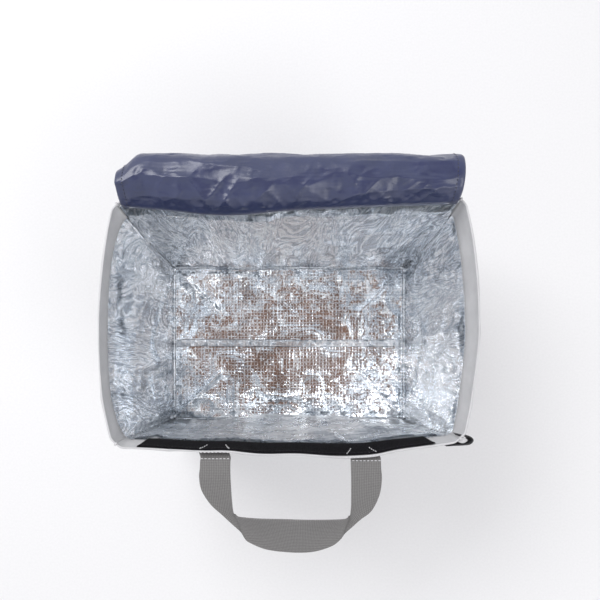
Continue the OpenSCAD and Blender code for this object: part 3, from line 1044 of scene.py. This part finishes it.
# %% [markdown]
# A box stitch holds each leg: a square of white thread with a cross in it. It goes right through
# the wall, so the ends of the cross show again on the inside, over the loop tape.

# %% Box stitches
def box_lines(ribbon, start, side):
    """The box and its cross on one leg. side is the strap's face that is seen, 1 or -1."""
    low, high, w = start + 4 * MM, start + 27 * MM, 0.8
    lift = side * (STRAP_T / 2 + 0.1 * MM)
    corners = [(-w, low, w, low), (w, low, w, high), (w, high, -w, high), (-w, high, -w, low),
               (-w, low, w, high), (w, low, -w, high)]
    fold = high + 4.5 * MM if start == 0 else low - 4.5 * MM
    return ([ribbon.line(*c, lift) for c in corners]
            + [ribbon.line(-0.98, fold, 0.98, fold, -lift)])


BOX_THREAD = {"thick": 1.0 * MM, "length": 2.8 * MM, "gap": 0.7 * MM}
for ribbon, name, cad, sign in ((front_ribbon, "front", "front_handle_stitches", -1),
                                (rear_ribbon, "rear", "rear_handle_stitches", 1)):
    ends = []
    for row, start in ((3, 0.0), (-4, ribbon.along[-1] - 31 * MM)):
        ends += box_lines(ribbon, start, 1 if ribbon.normal[row, 1] * sign > 0 else -1)
    sewn = stitches(f"{name}_loop_stitches", ends, **BOX_THREAD)
    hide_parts(cad)
    dress(sewn, white_thread)

inner_lines = []
for middle in (-LEG_X, LEG_X):
    for x_1, z_1, x_2, z_2 in ((-15, 299.6, -9, 286), (15, 299.6, 9, 286)):
        t = np.linspace(0, 1, 20)
        x, z = middle + (x_1 + (x_2 - x_1) * t) * MM, (z_1 + (z_2 - z_1) * t) * MM
        path, out = wall_line("front", x / FRONT_RUN, z, facing_in(z) + 1.9 * MM)
        inner_lines.append((path, -out))
    x = middle + np.linspace(-17.5, 17, 20) * MM
    path, out = wall_line("front", x / FRONT_RUN, RIM - 0.5 * MM, 0.1 * MM)
    inner_lines.append((path, out + (0, 0, 1.5)))
through = stitches("front_loop_inner_stitches", inner_lines, **BOX_THREAD)
dress(through, white_thread)
print("box stitches made")

# %% [markdown]
# At the front right corner a scrap of the outer fabric stands out of the seam, with a small
# black tape folded round it. Each is a strip of constant height, drawn by its outline from above.

# %% Corner stub and its tape loop
def upright(name, outline_xy, low, high, rows=9, bulge=0.0):
    """A closed solid whose outline is seen from above, between two heights."""
    ring = np.array(outline_xy, float)
    middle = ring.mean(axis=0)
    grid = []
    for v in np.linspace(0, 1, rows):
        puff = 1 + bulge * math.sin(math.pi * v) - 0.06 * (2 * v - 1) ** 8
        spots = middle + (ring - middle) * puff
        grid.append(np.column_stack([spots, np.full(len(ring), low + (high - low) * v)]))
    up = np.linspace(0, high - low, rows)[:, None]
    uvs = grid_uvs(lengths(ring)[None, :], up, ring=True).tolist() + ring[::-1].tolist()
    return finish_mesh(name, grid, tube_faces(rows, len(ring)), uvs + ring.tolist())


STUB_Y = -112.5
t = np.linspace(0, 1, 17)
lens_x, lens_y = 167.5 + 11 * t, 3.0 * np.sin(math.pi * t) ** 0.8
stub_xy = np.concatenate([np.column_stack([lens_x, STUB_Y + lens_y]),
                          np.column_stack([lens_x, STUB_Y - lens_y])[::-1][1:-1]])[::-1] * MM
stub = upright("corner_stub_scrap", stub_xy, RIM - 21.5 * MM, RIM - 1.5 * MM, bulge=0.08)
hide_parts("corner_stub")
dress(stub, grey_fabric)

spine = smooth_path([(169.5, -107.6), (175, -108.0), (180.5, -109.3), (183.6, -112.6),
                     (180.6, -116.0), (174, -117.0), (165, -117.4), (157, -117.9)], 60) * MM
ahead = np.gradient(spine, axis=0)
ahead /= np.linalg.norm(ahead, axis=1)[:, None]
sideways = np.column_stack([-ahead[:, 1], ahead[:, 0]]) * 0.8 * MM
loop_xy = np.concatenate([spine + sideways, (spine - sideways)[::-1]])
CORNER_TAPE_W = 20 * MM
levels = np.linspace(0, CORNER_TAPE_W, 9)
bands = [np.column_stack([loop_xy, np.full(len(loop_xy), RIM - 22.5 * MM + up)]) for up in levels]
loop_faces = slab_faces(len(levels), len(loop_xy))
loop_uvs = grid_uvs(levels[:, None], lengths(loop_xy)[None, :], ring=True).tolist()
loop_uvs += [[0.0, 0.0]] * (4 * len(loop_faces) - len(loop_uvs))
corner_loop = finish_mesh("corner_tape", bands, loop_faces, loop_uvs)
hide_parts("corner_tape_loop")
dress(corner_loop, black_webbing)
print("corner stub and loop made")

# %% [markdown]
# ## The flap lid
#
# The lid is two layers of coated nylon with thin foam between them, sewn along both ends. It
# starts as a thin band on the rear facing, humps over the rim, and hangs down behind. It is drawn
# as a closed slab: a path in the side view, swept across the width, thin where it is sewn. Then
# a cloth simulation blows it up a little against its sewn edges, which is what gives a padded
# piece its soft, uneven puckers. The sewn edges are pinned, and the travel is limited afterwards.

# %% The lid's slab
LID_HALF = 168.5 * MM                    # half of the lid's width
HEM_Z = 297 * MM                         # height of the root's seam on the rear facing
HANG_Y = (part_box("lid_cover")[0].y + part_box("lid_lining")[1].y) / 2
LID_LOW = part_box("tuck_cover")[0].z
LID_PATH = smooth_path(np.array([
    (0.5, 291), (0.3, 296), (1.2, 302), (4.5, 308), (10.5, 314), (19, 318.5), (30, 321.5),
    (41, 321.5), (49.5, 317.5), (54.2, 310), (56, 300), (56.6, 286), (57.6, 250), (59.3, 200),
    (59.5, 160), (59.5, 1000 * LID_LOW)]) * MM, 400)
LID_LEN = lengths(LID_PATH)[-1]


def lid_frame(t, x):
    """The lid's middle surface, and its normal, at a length along it and a place across it."""
    along = lengths(LID_PATH)
    y, z = np.interp(t, along, LID_PATH[:, 0]), np.interp(t, along, LID_PATH[:, 1])
    ahead_y = np.interp(t, along, np.gradient(LID_PATH[:, 0], along))
    ahead_z = np.interp(t, along, np.gradient(LID_PATH[:, 1], along))
    root_z = np.minimum(z, RIM)
    deep = facing_in(np.maximum(root_z, HEM_Z)) + 1.6 * MM
    face = bag_point("rear", -x / FRONT_RUN, root_z, deep)[..., 1] - 2.0 * MM
    free = HANG_Y - 58.5 * MM
    hold = 1 - ramp(t, 4 * MM, 66 * MM)
    length = np.hypot(ahead_y, ahead_z)
    normal = np.stack([0 * t, -ahead_z / length, ahead_y / length], axis=-1)
    corner = ramp(-x / LID_HALF, 0.84, 1.0) * ramp(t, 22 * MM, 62 * MM)
    y = y - 15 * MM * corner**1.5 * (1 - ramp(t, 95 * MM, 170 * MM))
    return np.stack([x, y + free + (face - free) * hold, z], axis=-1), normal


def lid_thickness(t, x):
    """How thick the padding is: thin at the root and along each sewn edge."""
    sewn = 1 - np.abs(x / LID_HALF) ** 16
    padded = ramp(t, 1 * MM, 14 * MM) * (1 - ramp(t, LID_LEN - 6 * MM, LID_LEN)) * sewn
    return 1.3 * MM + 4.6 * MM * np.sqrt(np.clip(padded, 0, 1))


def lid_slab(rows, cols):
    """A closed slab as a ring of columns: over the upper side and back along the lower one."""
    t = np.linspace(0, LID_LEN, rows)[:, None]
    u = np.linspace(-1, 1, cols)
    x = np.sign(u) * (1 - (1 - np.abs(u)) ** 1.15) * LID_HALF
    x = np.concatenate([x, x[::-1]])[None, :]
    side = np.concatenate([np.ones(cols), -np.ones(cols)])[None, :]
    t, x, side = np.broadcast_arrays(t, x, side)
    middle, normal = lid_frame(t, x)
    return middle + normal * (side * lid_thickness(t, x) / 2)[..., None], t, x, side


def puff(name, grid, loose, pressure=4.0, growth=0.006, frames=20, cap=4 * MM):
    """Blows a closed slab up as cloth. loose is 1 where it is free and 0 where it is sewn."""
    rows, cols = grid.shape[:2]
    cloth_piece = finish_mesh(name, grid, slab_faces(rows, cols))
    pins = cloth_piece.vertex_groups.new(name="sewn")
    for index, free in enumerate(np.ravel(loose)):
        pins.add([index], float(1 - free), "REPLACE")
    settings = cloth_piece.modifiers.new("cloth", "CLOTH").settings
    settings.quality = 6
    settings.mass = 0.15
    settings.tension_stiffness = settings.compression_stiffness = 20
    settings.shear_stiffness = 10
    settings.bending_stiffness = 6
    settings.use_pressure = True
    settings.uniform_pressure_force = pressure
    settings.effector_weights.gravity = 0
    settings.vertex_group_mass = pins.name
    settings.shrink_min = -growth
    scene = bpy.context.scene
    scene.frame_start, scene.frame_end = 1, frames
    for frame_number in range(1, frames + 1):
        scene.frame_set(frame_number)
    done = cloth_piece.evaluated_get(bpy.context.evaluated_depsgraph_get()).data
    spots = np.empty(rows * cols * 3)
    done.vertices.foreach_get("co", spots)
    spots = spots.reshape(rows, cols, 3)
    scene.frame_set(1)
    bpy.data.objects.remove(cloth_piece)
    shift = spots - grid
    size = np.linalg.norm(shift, axis=-1, keepdims=True)
    print(f"{name}: cloth moved up to {size.max() * 1000:.1f} mm")
    return shift * cap / (cap + size)


ROWS, HALF_COLS = 73, 61
slab, t, x, side = lid_slab(ROWS, HALF_COLS)
free = (ramp(t, 8 * MM, 24 * MM) * (1 - ramp(np.abs(x), LID_HALF - 9 * MM, LID_HALF - 2 * MM))
        * (1 - ramp(t, LID_LEN - 9 * MM, LID_LEN - 2 * MM)))
shift = puff("lid_cloth", slab, free)
print("lid length", round(float(LID_LEN), 3), "m")

# %% [markdown]
# The simulated shift is carried over to a finer slab, and the small wrinkles are added there:
# long soft ones across the width, and V-shaped puckers that fan out from the root, where the
# hump pulls the cloth two ways at once.

# %% The lid's wrinkles
def refine(field, rows, cols):
    """Resamples each side of a ring grid to more rows and columns, smoothly."""
    half = field.shape[1] // 2
    out = []
    for part in (field[:, :half], field[:, half:]):
        r, c = np.linspace(0, part.shape[0] - 1, rows), np.linspace(0, half - 1, cols)
        r0, c0 = np.minimum(r.astype(int), part.shape[0] - 2), np.minimum(c.astype(int), half - 2)
        fr, fc = (r - r0), (c - c0)
        fr, fc = (fr * fr * (3 - 2 * fr))[:, None, None], (fc * fc * (3 - 2 * fc))[None, :, None]
        top = part[r0][:, c0] * (1 - fc) + part[r0][:, c0 + 1] * fc
        low = part[r0 + 1][:, c0] * (1 - fc) + part[r0 + 1][:, c0 + 1] * fc
        out.append(top * (1 - fr) + low * fr)
    return np.concatenate(out, axis=1)


def lid_relief(t, x, side):
    """The lid's wrinkles, in metres, at places along and across it."""
    flat = np.stack([x, t, 0.05 * side], axis=-1)
    broad = 1.1 * MM * lumps(flat * (0.6, 1, 1), 42 * MM, 101)
    across = 1.3 * MM * ridges(flat * (0.30, 1.25, 1), 20 * MM, 102)
    slant = np.stack([x + 0.8 * t, 0.45 * (t - 0.8 * x), 0.02 * side], axis=-1)
    other = np.stack([x - 0.8 * t, 0.45 * (t + 0.8 * x), 0.02 * side], axis=-1)
    near = ramp(t, 6 * MM, 22 * MM) * (1 - 0.85 * ramp(t, 36 * MM, 62 * MM))
    patchy = ramp(lumps(flat, 38 * MM, 106), -0.3, 0.5)
    vee = (ridges(slant, 17 * MM, 103) + ridges(other, 17 * MM, 104)) * 1.5 * MM * near * patchy
    fine = 0.4 * MM * ridges(flat * (0.7, 1, 1), 8 * MM, 105)
    bend = np.exp(-(((t - 92 * MM) / (22 * MM)) ** 2))
    return (broad + across + fine) * (1 - 0.65 * bend) + vee - 1.6 * MM


FINE_ROWS, FINE_COLS = 289, 181
lid_grid, t, x, side = lid_slab(FINE_ROWS, FINE_COLS)
free = (ramp(t, 5 * MM, 22 * MM) * (1 - ramp(np.abs(x), LID_HALF - 12 * MM, LID_HALF - 1 * MM))
        * (1 - ramp(t, LID_LEN - 12 * MM, LID_LEN)))
hump = lid_frame(t, x)[1]
lid_grid = lid_grid + refine(shift, FINE_ROWS, FINE_COLS)
lid_grid = lid_grid + hump * (side * (0.35 + 0.65 * (side > 0)) * free
                              * lid_relief(t, x, side))[..., None]
print("lid thickest", round(float(np.ptp(lid_grid[200, :, 1])) * 1000, 1), "mm at its middle")

# %% [markdown]
# The lid bends at three places when it shuts: at the rim, at the top of the hump and above the
# tuck edge. It is cut into three strips halfway between the bends, where it moves as one piece.
# Each strip keeps the normals of the whole lid, so the cuts do not show.

# %% The lid's three strips
def grid_normals(grid):
    """Outward normals of a ring grid."""
    wrapped = np.concatenate([grid[:, -1:], grid, grid[:, :1]], axis=1)
    around = wrapped[:, 2:] - wrapped[:, :-2]
    ahead = np.gradient(grid, axis=0)
    normal = np.cross(around, ahead)
    return normal / np.maximum(np.linalg.norm(normal, axis=-1, keepdims=True), 1e-12)


def lid_strip(name, first, last):
    """The lid's rows from first to last, as a closed piece with the whole lid's normals."""
    part = lid_grid[first:last + 1]
    rows, cols = part.shape[:2]
    across = np.abs(np.broadcast_to(x[:1], (rows, cols)) + LID_HALF)
    uvs = grid_uvs(across, t[first:last + 1], ring=True)
    faces = slab_faces(rows, cols)
    ends = np.zeros((4 * len(faces) - len(uvs), 2))
    strip = finish_mesh(name, part, faces, np.concatenate([uvs, ends]))
    normals = lid_normals[first:last + 1].reshape(-1, 3)
    strip.data.normals_split_custom_set_from_vertices(normals.tolist())
    return strip


lid_normals = grid_normals(lid_grid)
middle_row, middle_column = 120, FINE_COLS // 2
facing_up = float(np.sign(lid_normals[middle_row, middle_column, 1:].sum()))
# The first cut is at a y on the hump, and the second at a z on the part that hangs
lid_t = t[:, 0]
lid_middle = lid_frame(lid_t, 0 * lid_t)[0]
CUT_1 = int(np.argmin(np.abs(lid_middle[:, 1] - 145.5 * MM) + (lid_t > 85 * MM)))
CUT_2 = int(np.argmin(np.abs(lid_middle[:, 2] - 234 * MM) + (lid_t < 120 * MM)))
STRIPS = (("lid_root_strip", 0, CUT_1, "bag", "lid_root", (0, 0.113, 0.300), (0, 0.128, 0.309)),
          ("lid_middle_strip", CUT_1, CUT_2, "lid_root", "lid_panel", (0, 0.156, 0.3215),
           (0, 0.1735, 0.298)),
          ("lid_tuck_strip", CUT_2, FINE_ROWS - 1, "lid_panel", "lid_tuck", (0, 0.1724, 0.160),
           (0, 0.1724, 0.141)))
REPLACED = (("lid_seam_band", "lid_root_cover", "lid_root_foam", "lid_root_lining"),
            ("lid_cover", "lid_foam", "lid_lining"), ("tuck_cover", "tuck_foam", "tuck_lining"))
for (name, first, last, a, b, start, end), nodes in zip(STRIPS, REPLACED):
    strip = lid_strip(name, first, last)
    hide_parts(*nodes)
    dress(strip, navy_nylon, body=None)
    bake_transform(strip)
    print(name, [round(d, 3) for d in strip.dimensions])

# %% [markdown]
# The lining's raw edge shows under the lid's root, as a thin pale seam where foil and nylon meet.

# %% Seam under the lid's root
x_seam = np.linspace(-163, 163, 300) * MM
seam_z = HEM_Z + 0.5 * MM + 0.4 * MM * lumps_along(x_seam, 7 * MM, 121)
seam_path = bag_point("rear", -x_seam / FRONT_RUN, seam_z, facing_in(HEM_Z) + 1.6 * MM)
seam_path[:, 1] -= 2.8 * MM
root_seam = sweep("root_seam", seam_path, 1.0 * MM)
dress(root_seam, foil_floor)
print("root seam", [round(d, 3) for d in root_seam.dimensions])

# %% [markdown]
# A row of navy thread runs down each end of the lid, just inside its edge. The rows are cut where
# the strips are. The hook tape on the inside of the tuck edge is what grips the loop tape when the
# lid is shut.

# %% Lid stitches and hook tape
for name, first, last, a, b, start, end in STRIPS:
    rows = slice(first, last + 1)
    lines = [(lid_grid[rows, column], lid_normals[rows, column] * facing_up)
             for column in (6, FINE_COLS - 7)]
    sewn = stitches(name.replace("strip", "end_stitches"), lines, thick=0.7 * MM)
    dress(sewn, navy_thread, body=None)
    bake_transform(sewn)

hook_lo, hook_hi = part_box("hook_tape")
rows = [k for k in range(FINE_ROWS) if hook_lo.z <= lid_middle[k, 2] <= hook_hi.z
        and lid_t[k] > 200 * MM]
columns = [k for k in range(FINE_COLS, 2 * FINE_COLS) if hook_lo.x <= x[0, k] <= hook_hi.x]
base = lid_grid[rows][:, columns]
front, back = base - (0, 1.3 * MM, 0), base + (0, 0.4 * MM, 0)
hook_ring = np.concatenate([front, back[::-1]], axis=0).transpose(1, 0, 2)
hook = finish_mesh("hook_tape_strip", hook_ring, slab_faces(*hook_ring.shape[:2]))
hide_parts("hook_tape")
dress(hook, black_pile, body="lid_tuck")
print("hook tape", [round(d, 3) for d in hook.dimensions])

# %% [markdown]
# ## Floor, light and camera
#
# A bag like this is best lit softly, as if by a big window and a white ceiling: a hard light
# would turn the foil into noise. Foil shows whatever it faces, so the world is nearly white, with
# a warm brown patch straight above, like a wooden ceiling, for the floor's facets to pick up.

# %% Ground, world and lights
bpy.ops.mesh.primitive_plane_add(size=6, location=(0, 0, -0.0005))
ground = bpy.context.object
ground.name = "ground"
paper, paper_tree, paper_shader = new_finish("paper", roughness=0.9)
grain = noise_field(paper_tree, place(paper_tree), 300.0, detail=3.0)
paper_tree.links.new(colours(paper_tree, grain, (0.3, (0.80, 0.80, 0.81)),
                             (0.7, (0.83, 0.83, 0.84))), paper_shader.inputs["Base Color"])
ground.data.materials.append(paper)

world = bpy.data.worlds.new("studio")
bpy.context.scene.world = world
world.use_nodes = True
sky = world.node_tree
heading = node(sky, "ShaderNodeTexCoord").outputs["Generated"]
height = node(sky, "ShaderNodeSeparateXYZ", {"Vector": heading}).outputs["Z"]
patches = noise_field(sky, heading, 5.0, detail=3.0)
level = math_node(sky, "ADD", height, math_node(sky, "MULTIPLY_ADD", patches, 0.10, -0.05))
tone = colours(sky, level, (0.0, (0.90, 0.90, 0.92)), (0.55, (0.95, 0.96, 0.98)),
               (0.93, (0.80, 0.80, 0.82)), (0.960, (0.25, 0.155, 0.12)))
background = sky.nodes["Background"]
sky.links.new(tone, background.inputs["Color"])
background.inputs["Strength"].default_value = 0.92


def soft_light(name, spot, target, size, power):
    """A window-like rectangle of light, turned towards its target."""
    light = bpy.data.lights.new(name, "AREA")
    light.shape, light.size, light.size_y = "RECTANGLE", size[0], size[1]
    light.energy = power
    lamp = bpy.data.objects.new(name, light)
    bpy.context.scene.collection.objects.link(lamp)
    lamp.location = spot
    aim = np.array(target) - np.array(spot)
    lamp.rotation_euler = mathutils.Vector(aim).to_track_quat("-Z", "Y").to_euler()
    return lamp


BAG_MIDDLE = (0, 0, 0.2)
soft_light("key", (-0.9, 1.0, 1.7), BAG_MIDDLE, (1.2, 0.9), 22)
soft_light("fill", (1.1, -1.1, 1.5), BAG_MIDDLE, (1.0, 1.0), 9)

# %% [markdown]
# The camera looks straight down into the bag from half a metre above the rim. A shift slides the
# frame without tilting the view, so the walls stay evenly drawn.

# %% Camera
lens = bpy.data.cameras.new("camera")
lens.sensor_width = 36
lens.angle = math.radians(57.1)
lens.shift_x, lens.shift_y = 0.02, 0.12
lens.clip_start = 0.01
camera = bpy.data.objects.new("camera", lens)
bpy.context.scene.collection.objects.link(camera)
camera.location = (-0.002, -0.044, RIM + 0.551)
camera.rotation_euler = (0, 0, 0)
bpy.context.scene.camera = camera
bpy.context.scene.view_settings.view_transform = "Standard"
print("camera at", [round(v, 3) for v in camera.location])
